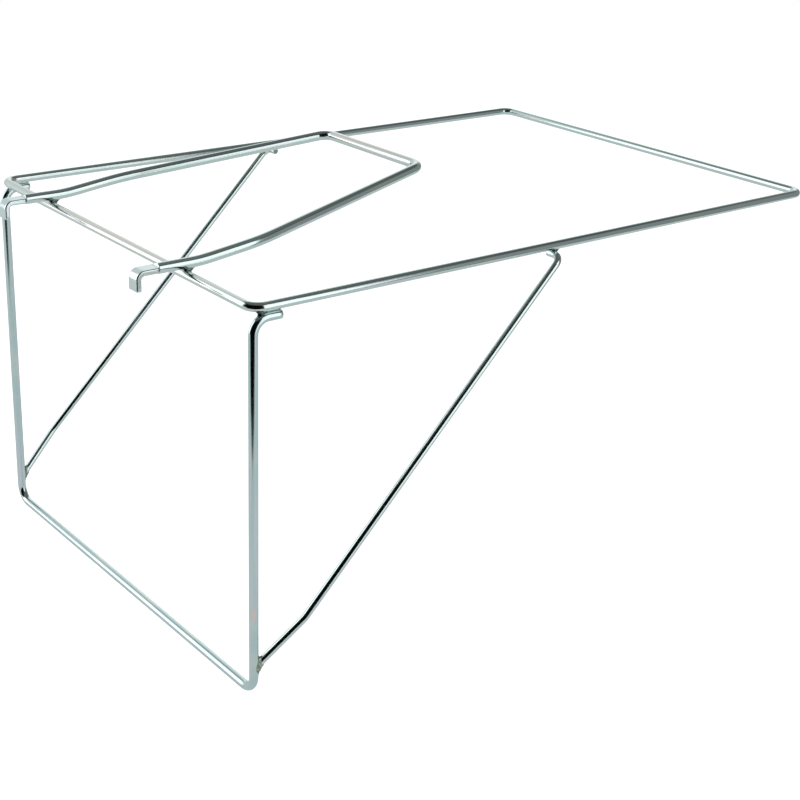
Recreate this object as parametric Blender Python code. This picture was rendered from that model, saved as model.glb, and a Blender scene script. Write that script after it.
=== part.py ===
"""Wall-hung wire rack: a ring on a leg frame, with two braces and a hook loop.

Every piece is bent round steel wire, welded to its neighbours and zinc plated.
The rack hangs by the two pressed hooks of its loop over a rail or a board's edge,
and the legs' bottom bar leans on the wall below.

Frame: metres, +Z up, +X out from the wall, +Y to the right of someone facing the wall.
The origin is the middle of the seat where the rail lies under the two hooks.
"""

import math

import bmesh
import bpy
from mathutils import Matrix, Vector

# ---- driving dimensions, in metres -------------------------------------------------------

CLEARANCE = 0.0003            # gap left between two pieces that touch or are welded
BEND_STEPS = 6                # straight steps in each round bend
WIRE_SIDES = 16               # sides of the hook loop's round wire
BEVEL_STEPS = 4               # bevel resolution of the curve wires: 12 sides

# Ring: closed rectangle, level, at the height of the back bar.
RING_WIRE = 0.006             # diameter of the ring's wire
RING_LENGTH = 0.486           # out from the wall, between wire centres
RING_WIDTH = 0.332            # along the wall, between wire centres
RING_BEND = 0.0090            # centre-line radius of its corners

# Leg frame: a U that hangs below the back bar.
LEG_WIRE = 0.006              # diameter of the legs' wire
LEG_DROP = 0.2535             # from the ring's centre down to the bottom bar's centre
LEG_TOP_BEND = 0.0100         # centre-line radius where a leg turns into its stub
LEG_FOOT_BEND = 0.0115        # centre-line radius where a leg turns into the bottom bar
LEG_STUB = 0.019              # from the leg's centre to the stub's cut end

# Braces: 45 degree struts from the legs to the ring's sides.
BRACE_WIRE = 0.005            # diameter of the braces' wire
BRACE_REACH = 0.2324          # from the back bar's centre out to the brace's top
BRACE_DROP = 0.2364           # from the ring's centre down to where the brace meets the leg
BRACE_OFFSET = 0.0084         # how far the strut stands outside the leg's centre
BRACE_KINK = 0.0322           # from the back bar's centre out to the kink above the foot
BRACE_SAG = 0.0028            # how far the kink lies below the line from the top to the foot
BRACE_BEND = 0.0065           # centre-line radius of the top bend
BRACE_KINK_BEND = 0.028       # centre-line radius of the gentle kink
BRACE_STUB = 0.0125           # from the strut's plane inward to the top stub's cut end

# Hook loop: a U that lies on the back bar and rises towards its front bar.
LOOP_WIRE = 0.007             # diameter of the loop's wire
LOOP_SPREAD = 0.1806          # between the two arms' centres at the wall
LOOP_FRONT = 0.1115           # between the two arms' centres at the front bar
LOOP_RISE_START = 0.011       # where the arms leave the level, out from the back bar's centre
LOOP_NECK = 0.0540            # where the arms start to draw together
LOOP_REACH = 0.2078           # out from the back bar's centre to the front bar's centre
LOOP_SLOPE = 0.1310           # rise for each unit of reach
LOOP_BEND = 0.0105            # centre-line radius of the front corners
LOOP_EASY_BEND = 0.110        # centre-line radius of the two gentle bends in each arm
PRESS_START = 0.0187          # from the back bar's centre to the step where the wire is pressed flat
PRESS_STEP = 0.0012           # length over which round wire becomes flat
STRAP_WIDTH = 0.0105          # width of the pressed strap
STRAP_THICK = 0.0035          # thickness of the pressed strap
STRAP_CORNER = 0.0009         # rounding along the strap's edges
RAIL_GAP = 0.029              # room for the rail between the hooks' tabs and the back bar
HOOK_DEPTH = 0.00925          # how far the tabs reach below the strap's underside
HOOK_BEND = 0.0022            # inside radius of the tabs' bend

# Weld metal: fillets with a hollow face, each in the crotch between two wires.
WELD_STEPS = 5                # straight steps in a hollow face
WELD_HOLLOW = 0.32            # depth of the hollow, as a share of a flat fillet's depth
WELD_WET = 0.0012             # how far a fillet climbs past the line where the two wires touch
HOOK_WELD_OUT = 0.0080        # from the back bar's side, out along the arm
HOOK_WELD_DOWN = 0.0035       # down the back bar's side
HOOK_WELD_WIDTH = 0.0052      # thickness along the back bar
LEG_WELD_OUT = 0.0062         # from the stub back towards the wall, under the ring's corner
LEG_WELD_DOWN = 0.0026        # down the outside of the leg's top bend
LEG_WELD_WIDTH = 0.0048       # thickness across the stub
TOP_WELD_OUT = 0.0056         # from the brace's side, out along the ring's side
TOP_WELD_DOWN = 0.0036        # down the brace's side
TOP_WELD_WIDTH = 0.0046       # thickness along the brace's stub
FOOT_WELD_OUT = 0.0115        # out along the brace's underside
FOOT_WELD_DOWN = 0.0105       # down the leg's side
FOOT_WELD_WIDTH = 0.0048      # thickness across the foot

# ---- places that follow from them ----------------------------------------------------------

BACK_X = (RAIL_GAP + RING_WIRE) / 2
SIDE_Y = RING_WIDTH / 2
LOOP_Z = STRAP_THICK / 2
RING_Z = LOOP_Z - (LOOP_WIRE + RING_WIRE) / 2 - CLEARANCE
STUB_Z = RING_Z - (RING_WIRE + LEG_WIRE) / 2 - CLEARANCE
BRACE_TOP_Z = RING_Z - (RING_WIRE + BRACE_WIRE) / 2 - CLEARANCE
STRUT_Y = SIDE_Y + BRACE_OFFSET

PLATED = ("zinc_plate", (0.60, 0.64, 0.65, 1.0), 0.22, 1.0)
WELDED = ("weld_metal", (0.47, 0.50, 0.49, 1.0), 0.38, 1.0)


# ---- tools for bending wire ------------------------------------------------------------------

def bent_path(corners, radii, closed=False):
    """Points of a wire: straight runs between the corners, with a round bend at each one."""
    count = len(corners)
    points = []
    for index, corner in enumerate(corners):
        corner = Vector(corner)
        is_end = not closed and index in (0, count - 1)
        if is_end:
            points.append(corner)
            continue
        before = (Vector(corners[index - 1]) - corner).normalized()
        after = (Vector(corners[(index + 1) % count]) - corner).normalized()
        turn = math.pi - before.angle(after)
        run = radii[index] * math.tan(turn / 2)
        towards_centre = (before + after).normalized()
        centre = corner + towards_centre * (radii[index] / math.cos(turn / 2))
        spoke = corner + before * run - centre
        axle = before.cross(after).normalized()
        for step in range(BEND_STEPS + 1):
            turned = Matrix.Rotation(-turn * step / BEND_STEPS, 3, axle) @ spoke
            points.append(centre + turned)
    return points


def wire_curve(name, points, diameter, closed=False):
    """A round wire along the points, its cut ends capped."""
    curve = bpy.data.curves.new(name, "CURVE")
    curve.dimensions = "3D"
    curve.bevel_depth = diameter / 2
    curve.bevel_resolution = BEVEL_STEPS
    curve.use_fill_caps = True
    spline = curve.splines.new("POLY")
    spline.points.add(len(points) - 1)
    for slot, point in zip(spline.points, points):
        slot.co = (point.x, point.y, point.z, 1.0)
    spline.use_cyclic_u = closed
    spline.use_smooth = True
    wire = bpy.data.objects.new(name, curve)
    bpy.context.collection.objects.link(wire)
    return wire


def make_cutter(cutter):
    """Keep an object only as a shape that cuts others."""
    cutter.hide_render = True
    cutter.display_type = "WIRE"
    return cutter


def cut(piece, cutters):
    """Cut a piece back from its neighbours' grown shapes."""
    for cutter in cutters:
        modifier = piece.modifiers.new("cut " + cutter.name, "BOOLEAN")
        modifier.operation = "DIFFERENCE"
        modifier.solver = "EXACT"
        modifier.object = cutter


def plate(piece, finish):
    """Give a piece its own material."""
    name, colour, roughness, metallic = finish
    material = bpy.data.materials.new(piece.name + " " + name)
    material.use_nodes = True
    shader = material.node_tree.nodes["Principled BSDF"]
    shader.inputs["Base Color"].default_value = colour
    shader.inputs["Roughness"].default_value = roughness
    shader.inputs["Metallic"].default_value = metallic
    piece.data.materials.append(material)


def mesh_object(name, mesh_builder):
    """Turn a bmesh into a named object, shaded smooth with its sharp edges kept."""
    bmesh.ops.recalc_face_normals(mesh_builder, faces=mesh_builder.faces)
    mesh = bpy.data.meshes.new(name)
    mesh_builder.to_mesh(mesh)
    mesh_builder.free()
    mesh.shade_smooth()
    mesh.set_sharp_from_angle(angle=math.radians(40))
    piece = bpy.data.objects.new(name, mesh)
    bpy.context.collection.objects.link(piece)
    return piece


# ---- the wires' routes -----------------------------------------------------------------------

def ring_points():
    """The ring's closed rectangle, from the wall's left corner round."""
    near_x = BACK_X
    far_x = BACK_X + RING_LENGTH
    corners = [
        (near_x, -SIDE_Y, RING_Z),
        (far_x, -SIDE_Y, RING_Z),
        (far_x, SIDE_Y, RING_Z),
        (near_x, SIDE_Y, RING_Z),
    ]
    return bent_path(corners, [RING_BEND] * len(corners), closed=True)


def leg_points():
    """The leg frame: left stub, left leg, bottom bar, right leg, right stub."""
    foot_z = RING_Z - LEG_DROP
    corners = [
        (BACK_X + LEG_STUB, -SIDE_Y, STUB_Z),
        (BACK_X, -SIDE_Y, STUB_Z),
        (BACK_X, -SIDE_Y, foot_z),
        (BACK_X, SIDE_Y, foot_z),
        (BACK_X, SIDE_Y, STUB_Z),
        (BACK_X + LEG_STUB, SIDE_Y, STUB_Z),
    ]
    radii = [0.0, LEG_TOP_BEND, LEG_FOOT_BEND, LEG_FOOT_BEND, LEG_TOP_BEND, 0.0]
    return bent_path(corners, radii)


def brace_points(side):
    """A brace on one side: top stub, top bend, strut, kink, and a foot that runs into the leg."""
    top_x = BACK_X + BRACE_REACH
    kink_x = BACK_X + BRACE_KINK
    meet_z = RING_Z - BRACE_DROP
    line_z = BRACE_TOP_Z + (meet_z - BRACE_TOP_Z) * (BRACE_REACH - BRACE_KINK) / BRACE_REACH
    kink_z = line_z - BRACE_SAG
    corners = [
        (top_x, side * (STRUT_Y - BRACE_STUB), BRACE_TOP_Z),
        (top_x, side * STRUT_Y, BRACE_TOP_Z),
        (kink_x, side * STRUT_Y, kink_z),
        (BACK_X, side * SIDE_Y, meet_z),
    ]
    return bent_path(corners, [0.0, BRACE_BEND, BRACE_KINK_BEND, 0.0])


def loop_arm_corners(side):
    """One arm of the hook loop, from the pressed step to its front corner."""
    rise_x = BACK_X + LOOP_RISE_START
    neck_x = BACK_X + LOOP_NECK
    front_x = BACK_X + LOOP_REACH
    wall_y = side * LOOP_SPREAD / 2
    front_y = side * LOOP_FRONT / 2
    neck_z = LOOP_Z + LOOP_SLOPE * (neck_x - rise_x)
    front_z = LOOP_Z + LOOP_SLOPE * (front_x - rise_x)
    return [
        (BACK_X - PRESS_START, wall_y, LOOP_Z),
        (rise_x, wall_y, LOOP_Z),
        (neck_x, wall_y, neck_z),
        (front_x, front_y, front_z),
    ]


def loop_points():
    """The hook loop's round wire, from the left press step round to the right one."""
    left = loop_arm_corners(-1)
    right = loop_arm_corners(1)
    radii = [0.0, LOOP_EASY_BEND, LOOP_EASY_BEND, LOOP_BEND]
    return bent_path(left + right[::-1], radii + radii[::-1])


# ---- the pressed hooks -------------------------------------------------------------------------

def round_section(centre, along, up, radius):
    """Corners of a round wire's section, starting at its top right and going round."""
    across = along.cross(up).normalized()
    upward = across.cross(along).normalized()
    ring = []
    for index in range(WIRE_SIDES):
        angle = 2 * math.pi * (index + 0.5) / WIRE_SIDES
        ring.append(centre + across * (radius * math.cos(angle)) + upward * (radius * math.sin(angle)))
    return ring


def strap_section(centre, along, up):
    """Corners of the pressed strap's section, a flat bar with its edges rounded."""
    across = along.cross(up).normalized()
    upward = across.cross(along).normalized()
    corner_steps = WIRE_SIDES // 4
    half_wide = STRAP_WIDTH / 2 - STRAP_CORNER
    half_thick = STRAP_THICK / 2 - STRAP_CORNER
    ring = []
    for quarter, (wide, thick) in enumerate([(1, 1), (-1, 1), (-1, -1), (1, -1)]):
        for step in range(corner_steps):
            angle = math.pi / 2 * (quarter + step / (corner_steps - 1))
            offset_wide = wide * half_wide + STRAP_CORNER * math.cos(angle)
            offset_thick = thick * half_thick + STRAP_CORNER * math.sin(angle)
            ring.append(centre + across * offset_wide + upward * offset_thick)
    return ring


def hook_sections(side):
    """Sections of one pressed hook, from the tab's tip up, over the bend and out to the step."""
    wall_y = side * LOOP_SPREAD / 2
    half = STRAP_THICK / 2
    tab_x = -RAIL_GAP / 2 - half
    bend = HOOK_BEND + half
    outward = Vector((1, 0, 0))
    upward = Vector((0, 0, 1))
    sections = [strap_section(Vector((tab_x, wall_y, -HOOK_DEPTH)), upward, -outward)]
    centre = Vector((tab_x + bend, wall_y, half - bend))
    for step in range(BEND_STEPS + 1):
        angle = math.pi / 2 * step / BEND_STEPS
        spoke = Vector((-math.cos(angle), 0, math.sin(angle)))
        heading = Vector((math.sin(angle), 0, math.cos(angle)))
        sections.append(strap_section(centre + spoke * bend, heading, spoke))
    flat_end = Vector((BACK_X - PRESS_START - PRESS_STEP, wall_y, half))
    sections.append(strap_section(flat_end, outward, upward))
    return sections


def loop_sections():
    """All sections of the hook loop in order, from the left tab's tip to the right one."""
    points = loop_points()
    rounds = []
    last = len(points) - 1
    for index, point in enumerate(points):
        before = (point - points[index - 1]).normalized() if index > 0 else Vector((0, 0, 0))
        after = (points[index + 1] - point).normalized() if index < last else Vector((0, 0, 0))
        along = (before + after).normalized()
        rounds.append(round_section(point, along, Vector((0, 0, 1)), LOOP_WIRE / 2))
    left = hook_sections(-1)
    right = []
    for ring in reversed(hook_sections(1)):
        # Seen from the other way, the same outline runs backwards: turn its order round.
        half_turn = WIRE_SIDES // 2
        right.append([ring[(half_turn - 1 - index) % WIRE_SIDES] for index in range(WIRE_SIDES)])
    return left + rounds + right


def make_hook_loop():
    """Skin the loop's sections into one closed solid."""
    builder = bmesh.new()
    rows = [[builder.verts.new(point) for point in ring] for ring in loop_sections()]
    for row, following in zip(rows, rows[1:]):
        for index in range(WIRE_SIDES):
            beside = (index + 1) % WIRE_SIDES
            builder.faces.new((row[index], row[beside], following[beside], following[index]))
    builder.faces.new(rows[0][::-1])
    builder.faces.new(rows[-1])
    piece = mesh_object("hook_loop", builder)
    plate(piece, PLATED)
    return piece


# ---- meshes cut from wires ---------------------------------------------------------------------

def solid_from(wire):
    """The mesh of a wire's curve as a plain mesh object of the same name."""
    depsgraph = bpy.context.evaluated_depsgraph_get()
    mesh = bpy.data.meshes.new_from_object(wire.evaluated_get(depsgraph))
    name = wire.name
    curve = wire.data
    bpy.data.objects.remove(wire)
    bpy.data.curves.remove(curve)
    builder = bmesh.new()
    builder.from_mesh(mesh)
    bpy.data.meshes.remove(mesh)
    bmesh.ops.remove_doubles(builder, verts=builder.verts, dist=0.000001)
    return mesh_object(name, builder)


def grown(name, points, diameter, closed=False):
    """A neighbour's wire grown by the clearance, kept as a cutter."""
    return make_cutter(solid_from(wire_curve(name, points, diameter + 2 * CLEARANCE, closed)))


def make_brace(side_name, side, leg_cutter):
    """A brace, its foot coped to sit against the leg."""
    brace = solid_from(wire_curve("brace_" + side_name, brace_points(side), BRACE_WIRE))
    cut(brace, [leg_cutter])
    plate(brace, PLATED)


# ---- weld metal --------------------------------------------------------------------------------

def make_fillet(name, corner, run_a, run_b, width, cutters):
    """A hollow-faced fillet that fills the crotch between two wires.

    Its outline lies in the plane of its two runs, which start at the corner: a straight edge
    out along each, and a hollow arc between their ends. It is width thick across that plane,
    half to each side, and is cut back from both wires.
    """
    corner = Vector(corner)
    run_a = Vector(run_a)
    run_b = Vector(run_b)
    half = run_a.cross(run_b).normalized() * (width / 2)
    inward = -(run_a + run_b) / 2 * WELD_HOLLOW
    outline = [corner]
    for step in range(WELD_STEPS + 1):
        share = step / WELD_STEPS
        depth = 4 * share * (1 - share)
        outline.append(corner + run_a * (1 - share) + run_b * share + inward * depth)
    builder = bmesh.new()
    base = [builder.verts.new(point - half) for point in outline]
    top = [builder.verts.new(point + half) for point in outline]
    builder.faces.new(base[::-1])
    builder.faces.new(top)
    for index in range(len(outline)):
        beside = (index + 1) % len(outline)
        builder.faces.new((base[index], base[beside], top[beside], top[index]))
    fillet = mesh_object(name, builder)
    cut(fillet, cutters)
    plate(fillet, WELDED)


def make_hook_weld(side_name, side, cutters):
    """Weld under a hook arm, on the far side of the back bar from the wall."""
    inset = RING_WIRE / 4
    corner = (BACK_X + inset, side * LOOP_SPREAD / 2, LOOP_Z - LOOP_WIRE / 2 + WELD_WET)
    along_arm = (RING_WIRE / 2 - inset + HOOK_WELD_OUT, 0, 0)
    down_bar = (RING_WIRE / 2 - inset, 0, -WELD_WET - HOOK_WELD_DOWN)
    make_fillet("weld_hook_" + side_name, corner, along_arm, down_bar, HOOK_WELD_WIDTH, cutters)


def make_leg_weld(side_name, side, cutters):
    """Weld between the ring's corner and the outside of the leg's top bend."""
    corner = (BACK_X + LEG_TOP_BEND, side * SIDE_Y, RING_Z - RING_WIRE / 2 - CLEARANCE / 2)
    under_ring = (-LEG_WELD_OUT, 0, WELD_WET)
    down_bend = (-LEG_WELD_OUT, 0, -LEG_WELD_DOWN)
    make_fillet("weld_leg_" + side_name, corner, under_ring, down_bend, LEG_WELD_WIDTH, cutters)


def make_brace_top_weld(side_name, side, cutters):
    """Weld under the ring's side, on the far side of the brace's stub from the wall."""
    inset = BRACE_WIRE / 4
    corner = (BACK_X + BRACE_REACH + inset, side * SIDE_Y, RING_Z - RING_WIRE / 2 + WELD_WET)
    along_ring = (BRACE_WIRE / 2 - inset + TOP_WELD_OUT, 0, 0)
    down_stub = (BRACE_WIRE / 2 - inset, 0, -WELD_WET - TOP_WELD_DOWN)
    make_fillet("weld_brace_top_" + side_name, corner, along_ring, down_stub, TOP_WELD_WIDTH, cutters)


def make_brace_foot_weld(side_name, side, cutters):
    """Weld in the crotch where the underside of a brace's foot meets the leg's side."""
    points = brace_points(side)
    foot = points[-1]
    heading = (points[-2] - foot).normalized()
    down = Vector((0, 0, -1))
    below = (down - heading * down.dot(heading)).normalized()
    along = (LEG_WIRE - below.x * BRACE_WIRE) / 2 / heading.x
    crotch = foot + heading * along + below * (BRACE_WIRE / 2)
    corner = crotch + Vector((-WELD_WET, 0, WELD_WET))
    up_brace = heading * FOOT_WELD_OUT
    down_leg = down * FOOT_WELD_DOWN
    make_fillet("weld_brace_foot_" + side_name, corner, up_brace, down_leg, FOOT_WELD_WIDTH, cutters)


# ---- assembly ----------------------------------------------------------------------------------

def main():
    for stray in list(bpy.data.objects):
        bpy.data.objects.remove(stray)
    plate(wire_curve("ring", ring_points(), RING_WIRE, closed=True), PLATED)
    plate(wire_curve("leg_frame", leg_points(), LEG_WIRE), PLATED)
    make_hook_loop()
    ring_cutter = grown("ring clearance", ring_points(), RING_WIRE, closed=True)
    leg_cutter = grown("leg clearance", leg_points(), LEG_WIRE)
    loop_cutter = grown("loop clearance", loop_points(), LOOP_WIRE)
    for side_name, side in (("left", -1), ("right", 1)):
        make_brace(side_name, side, leg_cutter)
        brace_cutter = grown("brace clearance " + side_name, brace_points(side), BRACE_WIRE)
        make_hook_weld(side_name, side, [ring_cutter, loop_cutter])
        make_leg_weld(side_name, side, [ring_cutter, leg_cutter])
        make_brace_top_weld(side_name, side, [ring_cutter, brace_cutter])
        make_brace_foot_weld(side_name, side, [leg_cutter, brace_cutter])


main()
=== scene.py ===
import math

import bpy
import numpy as np
from mathutils import Matrix, Vector


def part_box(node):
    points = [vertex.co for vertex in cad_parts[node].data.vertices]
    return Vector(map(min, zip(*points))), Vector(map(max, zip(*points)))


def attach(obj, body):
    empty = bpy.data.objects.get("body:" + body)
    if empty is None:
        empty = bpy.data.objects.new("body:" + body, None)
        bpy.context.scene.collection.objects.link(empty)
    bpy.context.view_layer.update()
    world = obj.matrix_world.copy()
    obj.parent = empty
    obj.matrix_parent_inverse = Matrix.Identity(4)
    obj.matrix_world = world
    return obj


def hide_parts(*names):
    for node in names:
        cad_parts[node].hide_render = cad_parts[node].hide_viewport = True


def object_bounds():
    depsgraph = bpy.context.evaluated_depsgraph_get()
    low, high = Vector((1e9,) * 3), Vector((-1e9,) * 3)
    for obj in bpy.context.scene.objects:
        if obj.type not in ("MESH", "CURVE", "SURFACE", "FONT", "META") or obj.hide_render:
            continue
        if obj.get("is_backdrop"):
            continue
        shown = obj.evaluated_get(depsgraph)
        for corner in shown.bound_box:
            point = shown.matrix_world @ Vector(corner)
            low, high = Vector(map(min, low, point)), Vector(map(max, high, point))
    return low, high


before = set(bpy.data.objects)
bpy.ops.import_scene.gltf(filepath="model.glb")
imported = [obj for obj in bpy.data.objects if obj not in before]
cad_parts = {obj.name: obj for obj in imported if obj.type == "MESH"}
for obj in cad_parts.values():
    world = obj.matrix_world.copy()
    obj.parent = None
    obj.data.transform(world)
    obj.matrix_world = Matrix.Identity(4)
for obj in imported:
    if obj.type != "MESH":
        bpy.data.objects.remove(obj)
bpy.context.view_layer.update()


# ---- Ring ------------------------------------------------------------------------------------
# The shelf of the rack: one closed rectangle of 6 mm drawn steel wire, bent cold round pins,
# butt welded and zinc plated with a bluish passivation.

RING_CORNER = 0.0090           # centre-line radius of the ring's bends
RUN_STEP = 0.003               # spacing of stations along a straight run
ARC_STEP = math.radians(5)     # spacing of stations round a bend
WIRE_PLACES = 48               # places round a wire's section
SHARP_EDGE = math.radians(50)  # edges sharper than this are not smoothed


def unit(vector):
    """The vector scaled to length one."""
    vector = np.asarray(vector, float)
    return vector / np.linalg.norm(vector, axis=-1, keepdims=True)


def turned(vector, axle, angles):
    """The vector turned about the axle: v cos a + (k x v) sin a + k (k.v)(1 - cos a)."""
    cosine = np.cos(angles)[:, None]
    sine = np.sin(angles)[:, None]
    return (vector * cosine + np.cross(axle, vector) * sine
            + axle * (axle @ vector) * (1 - cosine))


def bend_wire(corners, radii, side):
    """Centre line of a bent wire, as stations with a point, a heading and a side vector each.

    Straight runs join the corners. At a corner the wire leaves its run where an arc of the given
    radius touches both runs, and point, heading and side all turn about the arc's axle, so that
    what is carried along the wire never twists.
    """
    corners = np.array(corners, float)
    heading = unit(corners[1] - corners[0])
    side = np.array(side, float)
    here = corners[0]
    points, headings, sides = [], [], []
    for corner, after_corner, radius in zip(corners[1:], [*corners[2:], None], radii[1:]):
        is_end = after_corner is None
        after = heading if is_end else unit(after_corner - corner)
        turn = float(np.arccos(np.clip(heading @ after, -1.0, 1.0)))
        stop = corner - heading * radius * math.tan(turn / 2)
        count = max(2, math.ceil(np.linalg.norm(stop - here) / RUN_STEP) + 1)
        points.append(here + (stop - here) * np.linspace(0, 1, count)[:, None])
        headings.append(np.repeat(heading[None], count, axis=0))
        sides.append(np.repeat(side[None], count, axis=0))
        if is_end:
            break
        axle = unit(np.cross(heading, after))
        centre = stop + np.cross(axle, heading) * radius
        angles = np.linspace(0, turn, max(5, math.ceil(turn / ARC_STEP) + 1))
        arc = centre + turned(stop - centre, axle, angles)
        points.append(arc[1:-1])
        headings.append(turned(heading, axle, angles[1:-1]))
        sides.append(turned(side, axle, angles[1:-1]))
        side = turned(side, axle, angles[-1:])[0]
        heading = after
        here = arc[-1]
    return np.concatenate(points), np.concatenate(headings), np.concatenate(sides)


def linked(name, data):
    """A new object that holds the data, in the scene."""
    thing = bpy.data.objects.new(name, data)
    bpy.context.scene.collection.objects.link(thing)
    return thing


def skin(name, rows, closed=False):
    """A closed skin over a grid of stations by places round each station.

    Faces join neighbouring stations and places. The two ends are joined to each other when the
    wire is a closed one, and are otherwise closed by a fan to their middle. The UV map holds
    metres: along the wire, and round it.
    """
    stations, places = rows.shape[:2]
    middles = rows.mean(axis=1)
    spans = np.linalg.norm(np.diff(middles, axis=0, append=middles[:1]), axis=1)
    along = np.concatenate([[0], np.cumsum(spans)])
    midway = rows[stations // 2]
    girth = np.linalg.norm(midway - np.roll(midway, 1, axis=0), axis=1).sum()
    last_start = stations if closed else stations - 1
    grid = np.meshgrid(np.arange(last_start), np.arange(places), indexing="ij")
    station, place = [numbers.ravel() for numbers in grid]
    ahead, beside = (station + 1) % stations, (place + 1) % places
    here, there = station * places, ahead * places
    quads = np.stack([here + place, here + beside, there + beside, there + place], axis=1)
    round_at = np.stack([place, place + 1, place + 1, place], axis=1) * (girth / places)
    along_at = along[np.stack([station, station, station + 1, station + 1], axis=1)]
    points = rows.reshape(-1, 3)
    faces = quads.tolist()
    map_at = np.stack([along_at, round_at], axis=2).reshape(-1, 2)
    if not closed:
        points = np.concatenate([points, middles[:1], middles[-1:]])
        rim = np.arange(places)
        rim_next = (rim + 1) % places
        last = (stations - 1) * places
        start_middle = np.full(places, stations * places)
        start_fan = np.stack([start_middle, rim_next, rim], axis=1)
        end_fan = np.stack([start_middle + 1, last + rim, last + rim_next], axis=1)
        faces += start_fan.tolist() + end_fan.tolist()
        flat = points[np.concatenate([start_fan, end_fan]).ravel()]
        flat_map = np.stack([flat[:, 0] + flat[:, 2], flat[:, 1]], axis=1)
        map_at = np.concatenate([map_at, flat_map])
    mesh = bpy.data.meshes.new(name)
    mesh.from_pydata(points.tolist(), [], faces)
    wire_map = mesh.uv_layers.new(name="wire")
    wire_map.data.foreach_set("uv", map_at.astype(np.float32).ravel())
    mesh.shade_smooth()
    mesh.set_sharp_from_angle(angle=SHARP_EDGE)
    mesh.validate()
    return linked(name, mesh)


def round_rows(route, radii):
    """Places round each station: centre + radius (cos a side + sin a (heading x side))."""
    points, headings, sides = route
    around = np.linspace(0, 2 * math.pi, WIRE_PLACES, endpoint=False)[None, :, None]
    over = np.cross(headings, sides)
    spokes = np.cos(around) * sides[:, None] + np.sin(around) * over[:, None]
    return points[:, None] + spokes * np.broadcast_to(radii, len(points))[:, None, None]


def add_node(tree, kind, inputs=(), **settings):
    """A shader node with its settings, and its inputs set to values or joined to sockets."""
    node = tree.nodes.new(kind)
    for key, value in settings.items():
        setattr(node, key, value)
    for key, value in dict(inputs).items():
        if isinstance(value, bpy.types.NodeSocket):
            tree.links.new(value, node.inputs[key])
        else:
            node.inputs[key].default_value = value
    return node


def ramp(tree, value, low, high, start, end):
    """The value carried from low..high to start..end, held at both ends."""
    inputs = {"Value": value, "From Min": low, "From Max": high, "To Min": start, "To Max": end}
    return add_node(tree, "ShaderNodeMapRange", inputs).outputs["Result"]


def noise(tree, at, scale, detail, roughness=0.5):
    """A noise pattern's level at each place."""
    inputs = {"Vector": at, "Scale": scale, "Detail": detail, "Roughness": roughness}
    return add_node(tree, "ShaderNodeTexNoise", inputs).outputs["Fac"]


def stretched(tree, at, along, around):
    """The wire's UV map scaled along the wire and round it, for patterns that run with it."""
    inputs = {"Vector": at, "Scale": (along, around, 1.0)}
    return add_node(tree, "ShaderNodeMapping", inputs).outputs["Vector"]


def weighted(tree, value, weight, other):
    """value x weight + other."""
    inputs = {0: value, 1: weight, 2: other}
    return add_node(tree, "ShaderNodeMath", inputs, operation="MULTIPLY_ADD").outputs["Value"]


def mixed(tree, share, first, second):
    """Two colours mixed by a share; each is a colour or a socket."""
    inputs = {0: share, 6: first, 7: second}
    return add_node(tree, "ShaderNodeMix", inputs, data_type="RGBA").outputs[2]


ZINC_COOL = (0.57, 0.68, 0.665, 1.0)      # passivated zinc, bluish green
ZINC_VIOLET = (0.61, 0.67, 0.72, 1.0)     # where the passivation is thicker
ZINC_BARE = (0.69, 0.72, 0.67, 1.0)       # where it is thin
NEAR_WELD_TINT = (0.34, 0.36, 0.28, 1.0)       # a darker colour for the wire round each weld
STAIN_TINT = (0.82, 0.585, 0.55, 1.0)      # a rusty bloom in the plating
BAR_BLOOM = 0.40               # strength of the bloom on the back bar and on the loop's front bar
ROUGH_ZINC = 0.13
CLOUD_SCALE = 34.0             # clouds of passivation about 30 mm across
SPECK_SCALE = 900.0            # grains of zinc about 1 mm across
DRAWN_LINES = (30.0, 2600.0)   # die lines, along the wire and round it
BLUE_BANDS = (9.0, 330.0)      # long faint bands of colour
ZINC_GRAIN_DEPTH = 0.00005


def bare_metal(name):
    """A new metallic material, its node tree, its shader and its texture coordinates."""
    material = bpy.data.materials.new(name)
    material.use_nodes = True
    tree = material.node_tree
    shader = tree.nodes["Principled BSDF"]
    shader.inputs["Metallic"].default_value = 1.0
    return material, tree, shader, add_node(tree, "ShaderNodeTexCoord").outputs


def zinc_plate_material(name, base=ZINC_COOL):
    """Bright drawn wire under zinc: fine lines along the wire, cloudy passivation colours."""
    material, tree, shader, place = bare_metal(name)
    clouds = noise(tree, place["Object"], CLOUD_SCALE, 3.0, 0.6)
    specks = noise(tree, place["Object"], SPECK_SCALE, 2.0)
    lines = noise(tree, stretched(tree, place["UV"], *DRAWN_LINES), 1.0, 3.0)
    bands = noise(tree, stretched(tree, place["UV"], *BLUE_BANDS), 1.0, 1.0)
    heat = add_node(tree, "ShaderNodeAttribute", attribute_name="heat")
    stain = add_node(tree, "ShaderNodeAttribute", attribute_name="stain")
    violet = ramp(tree, bands, 0.48, 0.70, 0.0, 1.0)
    bare = ramp(tree, clouds, 0.50, 0.78, 0.0, 0.7)
    colour = mixed(tree, violet, base, ZINC_VIOLET)
    colour = mixed(tree, bare, colour, ZINC_BARE)
    # Round each weld the wire's colour is drawn darker.
    colour = mixed(tree, heat.outputs["Fac"], colour, NEAR_WELD_TINT)
    colour = mixed(tree, stain.outputs["Fac"], colour, STAIN_TINT)
    tree.links.new(colour, shader.inputs["Base Color"])
    worn = ramp(tree, lines, 0.35, 0.75, ROUGH_ZINC - 0.03, ROUGH_ZINC + 0.06)
    tree.links.new(weighted(tree, heat.outputs["Fac"], 0.16, worn), shader.inputs["Roughness"])
    grain = weighted(tree, specks, 0.6, lines)
    relief = {"Strength": 0.12, "Distance": ZINC_GRAIN_DEPTH, "Height": grain}
    bump = add_node(tree, "ShaderNodeBump", relief)
    tree.links.new(bump.outputs["Normal"], shader.inputs["Normal"])
    return material


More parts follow.
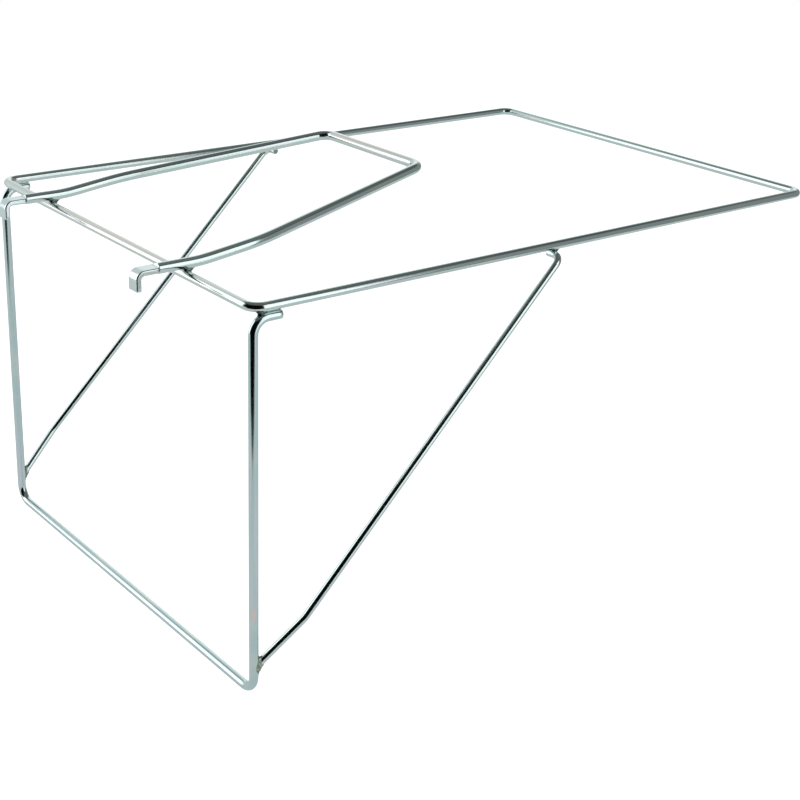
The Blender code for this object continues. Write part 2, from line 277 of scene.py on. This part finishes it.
def paint(piece, name, spots):
    """A point attribute for each spot's mark: the largest of strength exp(-(distance / reach)^2)."""
    at = np.empty(len(piece.data.vertices) * 3, np.float32)
    piece.data.vertices.foreach_get("co", at)
    at = at.reshape(-1, 3)
    level = np.zeros(len(at), np.float32)
    for spot, reach, strength in spots:
        away = (at - np.array(spot, np.float32)) / np.array(reach, np.float32)
        away = np.linalg.norm(away, axis=1)
        level = np.maximum(level, strength * np.exp(-away ** 2))
    piece.data.attributes.new(name, "FLOAT", "POINT").data.foreach_set("value", level)


ring_low, ring_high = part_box("ring")
ring_radius = (ring_high.z - ring_low.z) / 2
ring_z = ring_low.z + ring_radius
back_x = ring_low.x + ring_radius
front_x = ring_high.x - ring_radius
side_y = ring_high.y - ring_radius
ring_corners = [
    (back_x, 0.0, ring_z),
    (back_x, -side_y, ring_z),
    (front_x, -side_y, ring_z),
    (front_x, side_y, ring_z),
    (back_x, side_y, ring_z),
    (back_x, 0.0, ring_z),
]
ring_route = bend_wire(ring_corners, [0.0, *[RING_CORNER] * 4, 0.0], side=(0, 0, 1))
ring = skin("ring_wire", round_rows(ring_route, ring_radius)[:-1], closed=True)
back_bar_top = (back_x, 0.0, ring_z + ring_radius)
paint(ring, "stain", [(back_bar_top, (0.012, 0.13, 0.004), BAR_BLOOM)])
ring.data.materials.append(zinc_plate_material("ring zinc"))
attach(ring, "root")
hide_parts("ring")


# ---- Leg frame ---------------------------------------------------------------------------------
# Two legs and the bottom bar in one length of 6 mm wire. Each leg turns outward at the top into
# a short stub with a sheared end, which is welded under the ring's corner.

LEG_TOP_BEND = 0.0100
LEG_FOOT_BEND = 0.0115
SHEAR_ROUNDING = 0.00035       # rounding that the cropping blade leaves round a cut end
ZINC_BLUE = (0.50, 0.63, 0.645, 1.0)   # the legs came out of the bath bluer
LEG_STAIN_DROP = 0.1965        # from the ring's centre down to the stain on the left leg
LEG_STAIN_REACH = (0.0016, 0.0016, 0.0034)


def sheared_ends(route, rounding):
    """A route with its cut ends' stations, and how far each outline is drawn in, and its scale.

    Round the rim the outline is drawn in by rounding (1 - cos t) while the station moves
    rounding (1 - sin t) in from the end; two more stations at a smaller scale carry the flat face.
    """
    points, headings, sides = route
    angle = np.linspace(math.pi / 2, 0, 5)
    inset = np.concatenate([[0.0, 0.0], rounding * (1 - np.sin(angle))])
    drawn = np.concatenate([[rounding, rounding], rounding * (1 - np.cos(angle))])
    scale = np.array([0.35, 0.75, 1.0, 1.0, 1.0, 1.0, 1.0])
    inner = len(points) - 2
    start = points[0] + headings[0] * inset[:, None]
    end = points[-1] - headings[-1] * inset[::-1, None]
    count = len(inset)
    headings, sides = [
        np.concatenate([np.repeat(way[:1], count, 0), way[1:-1], np.repeat(way[-1:], count, 0)])
        for way in (headings, sides)
    ]
    drawn = np.concatenate([drawn, np.zeros(inner), drawn[::-1]])
    scale = np.concatenate([scale, np.ones(inner), scale[::-1]])
    return (np.concatenate([start, points[1:-1], end]), headings, sides), drawn, scale


def cut_wire(name, route, radius):
    """A round wire with sheared ends."""
    ended, drawn, scale = sheared_ends(route, SHEAR_ROUNDING)
    return skin(name, round_rows(ended, (radius - drawn) * scale))


leg_low, leg_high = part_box("leg_frame")
leg_radius = leg_high.y - side_y
leg_x = leg_low.x + leg_radius
leg_foot_z = leg_low.z + leg_radius
leg_stub_z = leg_high.z - leg_radius
leg_corners = [
    (leg_high.x, -side_y, leg_stub_z),
    (leg_x, -side_y, leg_stub_z),
    (leg_x, -side_y, leg_foot_z),
    (leg_x, side_y, leg_foot_z),
    (leg_x, side_y, leg_stub_z),
    (leg_high.x, side_y, leg_stub_z),
]
leg_bends = [0.0, LEG_TOP_BEND, LEG_FOOT_BEND, LEG_FOOT_BEND, LEG_TOP_BEND, 0.0]
leg_route = bend_wire(leg_corners, leg_bends, side=(0, 1, 0))
legs = cut_wire("leg_frame_wire", leg_route, leg_radius)
stain_at = (leg_x - 0.45 * leg_radius, -side_y - 0.89 * leg_radius, ring_z - LEG_STAIN_DROP)
paint(legs, "stain", [(stain_at, LEG_STAIN_REACH, 0.85)])
legs.data.materials.append(zinc_plate_material("leg zinc", ZINC_BLUE))
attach(legs, "root")
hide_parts("leg_frame")


# ---- Braces ------------------------------------------------------------------------------------
# A 5 mm strut on each side, bent inward at the top into a stub that is welded under the ring's
# side, and cranked gently at the bottom to run into the leg.

BRACE_DROP = 0.2364            # from the ring's centre down to where a brace meets its leg
BRACE_KINK = 0.0322            # from the legs' centres out to the crank
BRACE_SAG = 0.0028             # how far the crank lies below the straight line
BRACE_TOP_BEND = 0.0065
BRACE_KINK_BEND = 0.028
BRACE_RADIUS = 0.0025

braces = {}
brace_routes = {}
for side_name, side in (("left", -1), ("right", 1)):
    low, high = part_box("brace_" + side_name)
    strut_y = max(abs(low.y), abs(high.y)) - BRACE_RADIUS
    stub_y = min(abs(low.y), abs(high.y))
    top_z = high.z - BRACE_RADIUS
    top_x = high.x - BRACE_RADIUS
    meet_z = ring_z - BRACE_DROP
    kink_share = 1 - BRACE_KINK / (top_x - leg_x)
    kink_z = top_z + (meet_z - top_z) * kink_share - BRACE_SAG
    brace_corners = [
        (top_x, side * stub_y, top_z),
        (top_x, side * strut_y, top_z),
        (leg_x + BRACE_KINK, side * strut_y, kink_z),
        (leg_x, side * side_y, meet_z),
    ]
    brace_bends = [0.0, BRACE_TOP_BEND, BRACE_KINK_BEND, 0.0]
    brace_routes[side] = bend_wire(brace_corners, brace_bends, side=(0, 0, 1))
    brace = cut_wire("brace_wire_" + side_name, brace_routes[side], BRACE_RADIUS)
    brace.data.materials.append(zinc_plate_material("brace zinc " + side_name))
    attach(brace, "root")
    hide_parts("brace_" + side_name)
    braces[side] = brace


# ---- Hook loop ---------------------------------------------------------------------------------
# One length of 7 mm wire that lies on the back bar and rises towards its front bar. Both ends are
# pressed flat in a die, which leaves a sharp step, and the flat straps are folded down as hooks.

LOOP_SPREAD = 0.1806           # between the arms' centres at the wall
LOOP_FRONT_SPREAD = 0.1115     # between the arms' centres at the front bar
LOOP_RISE_START = 0.011        # out from the back bar's centre to where the arms leave the level
LOOP_NECK = 0.0540             # and to where they start to draw together
LOOP_REACH = 0.2078            # and to the front bar's centre
LOOP_SLOPE = 0.1310            # rise for each unit of reach
LOOP_FRONT_BEND = 0.0105
LOOP_EASY_BEND = 0.110
LOOP_RADIUS = 0.0035
STRAP_WIDTH = 0.0105
STRAP_THICK = 0.0035
STRAP_CORNER = 0.0009          # rounding along the strap's edges
PRESS_START = 0.0187           # from the back bar's centre to the step
PRESS_STEP = 0.0012
HOOK_BEND = 0.00395            # centre-line radius where the strap folds down
CORNER_PLACES = 10             # places round each of the strap's corners
FLAT_PLACES = 6                # places between two corners
STRAP_PLACES = 4 * (CORNER_PLACES + FLAT_PLACES)


def round_outline(radius):
    """Places round a wire's section: radius (cos a, sin a), matched to the strap's places."""
    first_corner = (CORNER_PLACES - 1) / 2
    angles = (np.arange(STRAP_PLACES) - first_corner) * (2 * math.pi / STRAP_PLACES) + math.pi / 4
    return radius * np.stack([np.cos(angles), np.sin(angles)], axis=1)


def strap_outline(width, thick, corner):
    """Places round a flat strap: at each corner a quarter circle, then places on the flat."""
    share = np.linspace(0, 1, CORNER_PLACES)
    signs = np.array([(1, 1), (-1, 1), (-1, -1), (1, -1)])
    cores = signs * (width / 2 - corner, thick / 2 - corner)
    angles = math.pi / 2 * (np.arange(4)[:, None] + share)
    arcs = cores[:, None] + corner * np.stack([np.cos(angles), np.sin(angles)], axis=2)
    onward = np.roll(arcs[:, 0], -1, axis=0)
    flat_share = (np.arange(1, FLAT_PLACES + 1) / (FLAT_PLACES + 1))[None, :, None]
    flats = arcs[:, -1:] + (onward[:, None] - arcs[:, -1:]) * flat_share
    return np.concatenate([arcs, flats], axis=1).reshape(-1, 2)


hook_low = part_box("hook_loop")[0]
strap_x = hook_low.x + STRAP_THICK / 2
loop_z = STRAP_THICK / 2
neck_z = loop_z + LOOP_SLOPE * (LOOP_NECK - LOOP_RISE_START)
front_z = loop_z + LOOP_SLOPE * (LOOP_REACH - LOOP_RISE_START)
arm_left = [
    (strap_x, -LOOP_SPREAD / 2, hook_low.z),
    (strap_x, -LOOP_SPREAD / 2, loop_z),
    (back_x + LOOP_RISE_START, -LOOP_SPREAD / 2, loop_z),
    (back_x + LOOP_NECK, -LOOP_SPREAD / 2, neck_z),
    (back_x + LOOP_REACH, -LOOP_FRONT_SPREAD / 2, front_z),
]
arm_radii = [0.0, HOOK_BEND, LOOP_EASY_BEND, LOOP_EASY_BEND, LOOP_FRONT_BEND]
arm_right = [(x, -y, z) for x, y, z in arm_left]
loop_route = bend_wire(arm_left + arm_right[::-1], arm_radii + arm_radii[::-1], side=(0, 1, 0))


def along_route(route):
    """Length run along the route at each station."""
    return np.concatenate([[0], np.cumsum(np.linalg.norm(np.diff(route[0], axis=0), axis=1))])


def with_stations(route, extra):
    """The route with more stations, at lengths along it that lie on straight runs."""
    along = along_route(route)
    wanted = np.unique(np.concatenate([along, extra]).round(7))
    columns = np.concatenate(route, axis=1)
    filled = np.stack([np.interp(wanted, along, column) for column in columns.T], axis=1)
    return filled[:, :3], unit(filled[:, 3:6]), unit(filled[:, 6:])


loop_length = along_route(loop_route)[-1]
flat_end_x = back_x - PRESS_START - PRESS_STEP
tab_run = loop_z - hook_low.z - HOOK_BEND
strap_run = tab_run + (flat_end_x - strap_x - HOOK_BEND) + math.pi / 2 * HOOK_BEND
step_at = strap_run + np.linspace(0, PRESS_STEP, 9)
loop_route = with_stations(loop_route, np.concatenate([step_at, loop_length - step_at]))
loop_route, drawn, scale = sheared_ends(loop_route, SHEAR_ROUNDING)
from_end = np.minimum(along_route(loop_route), loop_length - along_route(loop_route))
pressed = np.clip((strap_run + PRESS_STEP - from_end) / PRESS_STEP, 0, 1)
pressed = pressed ** 2 * (3 - 2 * pressed)
flat = strap_outline(STRAP_WIDTH, STRAP_THICK, STRAP_CORNER)
pressed, drawn, scale = [share[:, None, None] for share in (pressed, drawn, scale)]
outlines = round_outline(LOOP_RADIUS) * (1 - pressed) + flat * pressed
outlines = (outlines - np.sign(outlines) * np.minimum(np.abs(outlines), drawn)) * scale
points, headings, sides = loop_route
over = np.cross(headings, sides)
loop_rows = points[:, None] + outlines[..., :1] * sides[:, None] + outlines[..., 1:] * over[:, None]
loop = skin("hook_loop_wire", loop_rows)
front_bar_top = (back_x + LOOP_REACH, 0.0, front_z + LOOP_RADIUS)
paint(loop, "stain", [(front_bar_top, (0.008, 0.06, 0.004), BAR_BLOOM)])
loop.data.materials.append(zinc_plate_material("loop zinc"))
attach(loop, "root")
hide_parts("hook_loop")


# ---- Welds -------------------------------------------------------------------------------------
# Eight small beads of weld metal, run into the crotches where the wires cross or meet, before
# plating: hollow faced, a little lumpy, and duller and darker than the wires.

WELD_STATIONS = 44
WELD_PLACES = 64
WELD_RIPPLE = 0.00006          # height of the bead's lumps
RIPPLE_WAVES = 2100            # radians to the metre, so lumps about 3 mm apart
WELD_SINK = 0.00025            # how far the bead's edge dips under the wires
WELD_COLOUR = (0.18, 0.24, 0.235, 1.0)
WELD_BURNT = (0.03, 0.05, 0.047, 1.0)
WELD_KHAKI = (0.58, 0.55, 0.36, 1.0)
MOTTLE_SCALE = 520.0           # burnt patches about 2 mm across
WELD_GRAIN_SCALE = 1900.0
WELD_GRAIN_DEPTH = 0.0002
MARCH_STEPS = 24               # steps from a bead's middle outward to find its face
HALVINGS = 14                  # and halvings that sharpen what they find
WIRE_NEAR = 0.03               # wire farther than this from a bead is left out of its sums


def wire_distance(at, route, radius, middle, near):
    """Distance from each place to the wire's surface, from its stations within near of the middle."""
    points = route[0]
    close = np.flatnonzero(np.linalg.norm(points - middle, axis=1) < near)
    first, last = max(close.min() - 1, 0), min(close.max() + 2, len(points))
    starts, ends = points[first:last - 1], points[first + 1:last]
    runs = ends - starts
    offset = at[:, None] - starts
    length_squared = np.maximum((runs * runs).sum(-1), 1e-12)
    share = np.clip((offset * runs).sum(-1) / length_squared, 0, 1)
    return np.sqrt(((offset - share[..., None] * runs) ** 2).sum(-1)).min(axis=1) - radius


def weld_bead(name, middle, reach, fill, wires, seed):
    """Weld metal in the crotch of two wires, as distances from the middle over all directions.

    A place lies where the rounded union of the wires ends: d = min(d1, d2) - fill h^2 / 4 with
    h = max(0, 1 - |d1 - d2| / fill). The fill fades as (1 - t^2) towards the bead's reach, t = 1,
    where the skin dips just under the wires; low sine ripples make it lumpy.
    """
    middle, reach = np.array(middle), np.array(reach)
    polar = np.linspace(math.pi - 0.02, 0.02, WELD_STATIONS)
    around = np.linspace(0, 2 * math.pi, WELD_PLACES, endpoint=False)
    polar, around = [grid.ravel() for grid in np.meshgrid(polar, around, indexing="ij")]
    outer = np.sin(polar)
    rays = np.stack([outer * np.cos(around), outer * np.sin(around), np.cos(polar)], axis=1)
    phases = np.random.default_rng(seed).uniform(0, 2 * math.pi, 3)

    def metal(share):
        """Distance outside the bead's face at each share of the reach, negative inside."""
        at = middle + rays * share[:, None] * reach
        first, second = [
            wire_distance(at, route, radius, middle, WIRE_NEAR) for route, radius in wires
        ]
        inward = np.clip(1 - share ** 2, 0, 1)
        fade = fill * inward + 1e-9
        blend = np.clip(1 - np.abs(first - second) / fade, 0, 1)
        ripple = np.sin(at * RIPPLE_WAVES + phases).sum(axis=1) * WELD_RIPPLE * inward
        return np.minimum(first, second) - fade * blend ** 2 / 4 + WELD_SINK * share ** 4 + ripple

    low = np.zeros(len(rays))
    found = np.zeros(len(rays), bool)
    high = np.ones(len(rays))
    for share in np.linspace(1 / MARCH_STEPS, 1, MARCH_STEPS):
        outside = (metal(np.full(len(rays), share)) > 0) & ~found
        high[outside] = share
        found |= outside
        low[~found] = share
    for _ in range(HALVINGS):
        halfway = (low + high) / 2
        outside = metal(halfway) > 0
        high = np.where(outside & found, halfway, high)
        low = np.where(outside | ~found, low, halfway)
    share = np.where(found, (low + high) / 2, 1.0)
    rows = (middle + rays * share[:, None] * reach).reshape(WELD_STATIONS, WELD_PLACES, 3)
    return skin(name, rows)


def weld_material(name, patches):
    """Plated weld metal: mottled, ripple faced, darker and rougher than the wire."""
    material, tree, shader, place = bare_metal(name)
    mottle = noise(tree, place["Object"], MOTTLE_SCALE, 3.0)
    grain = noise(tree, place["Object"], WELD_GRAIN_SCALE, 2.0)
    burnt = ramp(tree, mottle, 0.45, 0.68, 0.0, 0.9)
    colour = mixed(tree, burnt, WELD_COLOUR, patches)
    tree.links.new(colour, shader.inputs["Base Color"])
    tree.links.new(ramp(tree, grain, 0.3, 0.7, 0.16, 0.34), shader.inputs["Roughness"])
    relief = {"Strength": 0.5, "Distance": WELD_GRAIN_DEPTH, "Height": grain}
    bump = add_node(tree, "ShaderNodeBump", relief)
    tree.links.new(bump.outputs["Normal"], shader.inputs["Normal"])
    return material


weld_dark = weld_material("weld zinc dark", WELD_BURNT)
weld_khaki = weld_material("weld zinc khaki", WELD_KHAKI)
arm_y = LOOP_SPREAD / 2
bar = (ring_route, ring_radius)
leg_wire = (leg_route, leg_radius)
arm = (loop_route, LOOP_RADIUS)
for side_name, side in (("left", -1), ("right", 1)):
    strut = (brace_routes[side], BRACE_RADIUS)
    # Each bead's middle, its reach along x, y and z, its fill, and the two wires that it joins.
    beads = {
        "weld_hook_": (
            (back_x + 0.0046, side * arm_y, loop_z - LOOP_RADIUS - 0.0012),
            (0.0068, 0.0034, 0.0040), 0.0080, (arm, bar),
        ),
        "weld_leg_": (
            (leg_x + 0.0053, side * (side_y - 0.0007), ring_z - 0.0038),
            (0.0055, 0.0032, 0.0034), 0.0050, (bar, leg_wire),
        ),
        "weld_brace_top_": (
            (top_x + 0.0037, side * side_y, ring_z - 0.0040),
            (0.0046, 0.0030, 0.0034), 0.0060, (bar, strut),
        ),
        "weld_brace_foot_": (
            (leg_x + 0.0044, side * (side_y + 0.0011), ring_z - 0.2350),
            (0.0065, 0.0034, 0.0095), 0.0070, (leg_wire, strut),
        ),
    }
    for seed, (kind, (middle, reach, fill, wires)) in enumerate(beads.items()):
        bead = weld_bead(kind + "bead_" + side_name, middle, reach, fill, wires, seed + 7)
        bead.data.materials.append(weld_khaki if kind == "weld_brace_foot_" else weld_dark)
        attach(bead, "root")
        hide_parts(kind + side_name)
    foot_at = (leg_x, side * side_y, ring_z - BRACE_DROP)
    top_at = (top_x, side * side_y, top_z)
    # The braces are drawn darker round their welds.
    paint(braces[side], "heat", [(top_at, 0.006, 0.5), (foot_at, 0.012, 0.6)])

# The darker colour on the wires round each weld: its place, its reach and its strength.
hook_marks, leg_marks, brace_marks, foot_marks = [], [], [], []
for side in (-1, 1):
    under_ring = (leg_x + 0.005, side * side_y, ring_z - ring_radius)
    hook_marks.append(((back_x, side * arm_y, ring_z), 0.007, 0.5))
    leg_marks.append((under_ring, 0.006, 0.5))
    brace_marks.append(((top_x, side * side_y, ring_z), 0.006, 0.5))
    foot_marks.append(((leg_x, side * side_y, ring_z - BRACE_DROP), 0.008, 0.4))
paint(ring, "heat", hook_marks + leg_marks + brace_marks)
paint(legs, "heat", leg_marks + foot_marks)
paint(loop, "heat", hook_marks)


# ---- Studio ------------------------------------------------------------------------------------
# A pale paper floor a little below the rack, ending short of the camera; two soft boxes, one
# behind on the left and one in front on the right; a black flag that darkens the wires' middles;
# and a room that is bright behind the rack and dark on the camera's side.

FLOOR_Z = -0.27
FLOOR_HEADING = math.radians(-130)   # the paper's front edge faces this way, from +Y towards +X
FLOOR_FRONT = 1.10             # from the near leg to the paper's front edge, towards the camera
FLOOR_RIGHT = 0.70             # from the near leg to the paper's right edge
FLOOR_LEFT = 1.50
FLOOR_BACK = 2.20
FLOOR_LEVEL = 0.42             # the paper's own glow in the metal
FLAG_AWAY = 0.37               # from the near leg to the black flag
FLAG_WIDTH = 0.92
FLAG_ASIDE = 0.03              # the flag's middle, to the camera's right of the near leg
FLAG_HEIGHT = 0.75
FLAG_LIFT = 0.002              # the flag's lower edge, above the paper
ROOM_DARK = 0.003              # the room's level on the camera's side
FLOOR_ROWS, FLOOR_COLUMNS = 18, 20
outward = np.array([math.sin(FLOOR_HEADING), math.cos(FLOOR_HEADING), 0.0])
rightward = np.array([-outward[1], outward[0], 0.0])
near_foot = np.array([leg_x, -side_y, FLOOR_Z])


def paper_floor():
    """A rectangle of paper: near foot + run outward + across rightward, each from edge to edge."""
    run, across = np.meshgrid(
        np.linspace(FLOOR_FRONT, -FLOOR_BACK, FLOOR_ROWS),
        np.linspace(-FLOOR_LEFT, FLOOR_RIGHT, FLOOR_COLUMNS), indexing="ij",
    )
    points = near_foot + outward * run.ravel()[:, None] + rightward * across.ravel()[:, None]
    grid = np.meshgrid(np.arange(FLOOR_ROWS - 1), np.arange(FLOOR_COLUMNS - 1), indexing="ij")
    row, place = [numbers.ravel() for numbers in grid]
    here = row * FLOOR_COLUMNS + place
    there = here + FLOOR_COLUMNS
    mesh = bpy.data.meshes.new("paper_floor")
    quads = np.stack([here, there, there + 1, here + 1], axis=1)
    mesh.from_pydata(points.tolist(), [], quads.tolist())
    if mesh.polygons[0].normal.z < 0:
        mesh.flip_normals()
    return linked("paper_floor", mesh)


def paper_material():
    """White paper to the camera, pale grey in the metal, and matt paper to the lamps."""
    material = bpy.data.materials.new("floor paper")
    material.use_nodes = True
    tree = material.node_tree
    shader = tree.nodes["Principled BSDF"]
    shader.inputs["Base Color"].default_value = (0.8, 0.8, 0.8, 1.0)
    shader.inputs["Roughness"].default_value = 0.9
    shader.inputs["Specular IOR Level"].default_value = 0.0
    rays = add_node(tree, "ShaderNodeLightPath")
    sides = {0: rays.outputs["Is Glossy Ray"], 1: rays.outputs["Is Transmission Ray"]}
    mirrored = add_node(tree, "ShaderNodeMath", sides, operation="MAXIMUM").outputs[0]
    strength = weighted(tree, mirrored, FLOOR_LEVEL, rays.outputs["Is Camera Ray"])
    tree.links.new(strength, shader.inputs["Emission Strength"])
    shader.inputs["Emission Color"].default_value = (0.96, 1.0, 0.99, 1.0)
    return material


floor = paper_floor()
floor.data.materials.append(paper_material())
floor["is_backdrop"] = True


def black_flag():
    """An upright black board by the rack: near foot + away outward + aside rightward + up."""
    foot = near_foot + (0.0, 0.0, FLAG_LIFT) + outward * FLAG_AWAY + rightward * FLAG_ASIDE
    half = rightward * FLAG_WIDTH / 2
    up = np.array([0.0, 0.0, FLAG_HEIGHT])
    mesh = bpy.data.meshes.new("black_flag")
    corners = [foot - half, foot + half, foot + half + up, foot - half + up]
    mesh.from_pydata(corners, [], [(0, 1, 2, 3)])
    board = linked("black_flag", mesh)
    for ray in ("camera", "diffuse", "shadow", "transmission"):
        setattr(board, "visible_" + ray, False)
    return board


flag = black_flag()
flag_cloth = bpy.data.materials.new("flag cloth")
flag_cloth.use_nodes = True
flag_face = flag_cloth.node_tree.nodes["Principled BSDF"].inputs
flag_face["Base Color"].default_value = (0.004, 0.004, 0.004, 1.0)
flag_face["Specular IOR Level"].default_value = 0.0
flag.data.materials.append(flag_cloth)
flag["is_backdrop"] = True


def soft_box(name, aim, heading, elevation, distance, width, height, radiance):
    """A rectangular lamp at a distance from its aim, facing it; power = radiance pi width height."""
    data = bpy.data.lights.new(name, "AREA")
    data.shape = "RECTANGLE"
    data.size, data.size_y = width, height
    data.energy = radiance * math.pi * width * height
    flat = math.cos(math.radians(elevation))
    ahead = np.array([
        flat * math.sin(math.radians(heading)),
        flat * math.cos(math.radians(heading)),
        math.sin(math.radians(elevation)),
    ])
    lamp = linked(name, data)
    lamp.location = np.array(aim) + ahead * distance
    lamp.rotation_euler = (math.radians(90 - elevation), 0.0, math.radians(180 - heading))
    lamp.visible_camera = False
    return lamp


soft_box("soft_box_right", (0.06, -side_y, 0.0), 161, 14, 1.6, 1.08, 2.00, 1.4)
soft_box("soft_box_left", (0.02, -side_y, -0.1), -40, 15, 1.6, 0.86, 1.7, 1.3)

world = bpy.data.worlds.new("studio room")
world.use_nodes = True
tree = world.node_tree
tree.nodes.clear()
sky = add_node(tree, "ShaderNodeTexCoord")
axes = add_node(tree, "ShaderNodeSeparateXYZ", {"Vector": sky.outputs["Generated"]})


def smooth(axis, low, high, start, end):
    """The direction's share along an axis, carried smoothly from low..high to start..end."""
    inputs = {
        "Value": axes.outputs[axis], "From Min": low, "From Max": high, "To Min": start, "To Max": end,
    }
    node = add_node(tree, "ShaderNodeMapRange", inputs, interpolation_type="SMOOTHSTEP")
    return node.outputs["Result"]


def product(first, second):
    """first x second."""
    return add_node(tree, "ShaderNodeMath", {0: first, 1: second}, operation="MULTIPLY").outputs[0]


def total(*values):
    """The sum of the values."""
    result = values[0]
    for value in values[1:]:
        result = add_node(tree, "ShaderNodeMath", {0: result, 1: value}, operation="ADD").outputs[0]
    return result


behind = product(smooth("Y", 0.30, 0.72, 0.0, 0.85), smooth("Z", 0.56, 0.84, 1.0, 0.10))
right = product(smooth("X", 0.15, 0.60, 0.0, 0.30), smooth("Z", 0.50, 0.74, 1.0, 0.25))
overhead = smooth("Z", 0.66, 0.92, 0.0, 0.15)
room = total(ROOM_DARK, behind, right, overhead)
to_camera = add_node(tree, "ShaderNodeLightPath").outputs["Is Camera Ray"]
levels = {0: to_camera, 2: room, 3: 1.0}
seen = add_node(tree, "ShaderNodeMix", levels, data_type="FLOAT").outputs[0]
tint = mixed(tree, to_camera, (0.95, 1.0, 0.98, 1.0), (1.0, 1.0, 1.0, 1.0))
backdrop = add_node(tree, "ShaderNodeBackground", {"Color": tint, "Strength": seen})
add_node(tree, "ShaderNodeOutputWorld", {"Surface": backdrop.outputs["Background"]})
bpy.context.scene.world = world


# ---- Camera ------------------------------------------------------------------------------------
# A fairly long lens, 0.29 m above the rail, on its wall side and well to the left, looking down
# at the rack; the lens is shifted a little to frame it.

CAMERA_AT = (-0.43436, -0.86988, 0.28929)
CAMERA_HEADING = math.radians(51.5432)   # from +X towards +Y
CAMERA_PITCH = math.radians(20.4532)
CAMERA_ROLL = math.radians(1.9011)
CAMERA_LENS = 70.0             # in millimetres, on a sensor 36 mm wide
CAMERA_SHIFT = -0.0744         # vertical shift of the lens, as a share of the sensor's width

forward = Vector((
    math.cos(CAMERA_PITCH) * math.cos(CAMERA_HEADING),
    math.cos(CAMERA_PITCH) * math.sin(CAMERA_HEADING),
    -math.sin(CAMERA_PITCH),
))
level = Vector((math.sin(CAMERA_HEADING), -math.cos(CAMERA_HEADING), 0.0))
upright = level.cross(forward)
right_way = level * math.cos(CAMERA_ROLL) + upright * math.sin(CAMERA_ROLL)
up_way = right_way.cross(forward)
lens = bpy.data.cameras.new("camera")
lens.sensor_width = 36.0
lens.lens = CAMERA_LENS
lens.shift_y = CAMERA_SHIFT
lens.clip_start, lens.clip_end = 0.05, 20.0
camera = linked("camera", lens)
turn = Matrix((right_way, up_way, -forward)).transposed().to_4x4()
camera.matrix_world = Matrix.Translation(CAMERA_AT) @ turn
bpy.context.scene.camera = camera
bpy.context.scene.view_settings.view_transform = "Standard"

low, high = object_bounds()
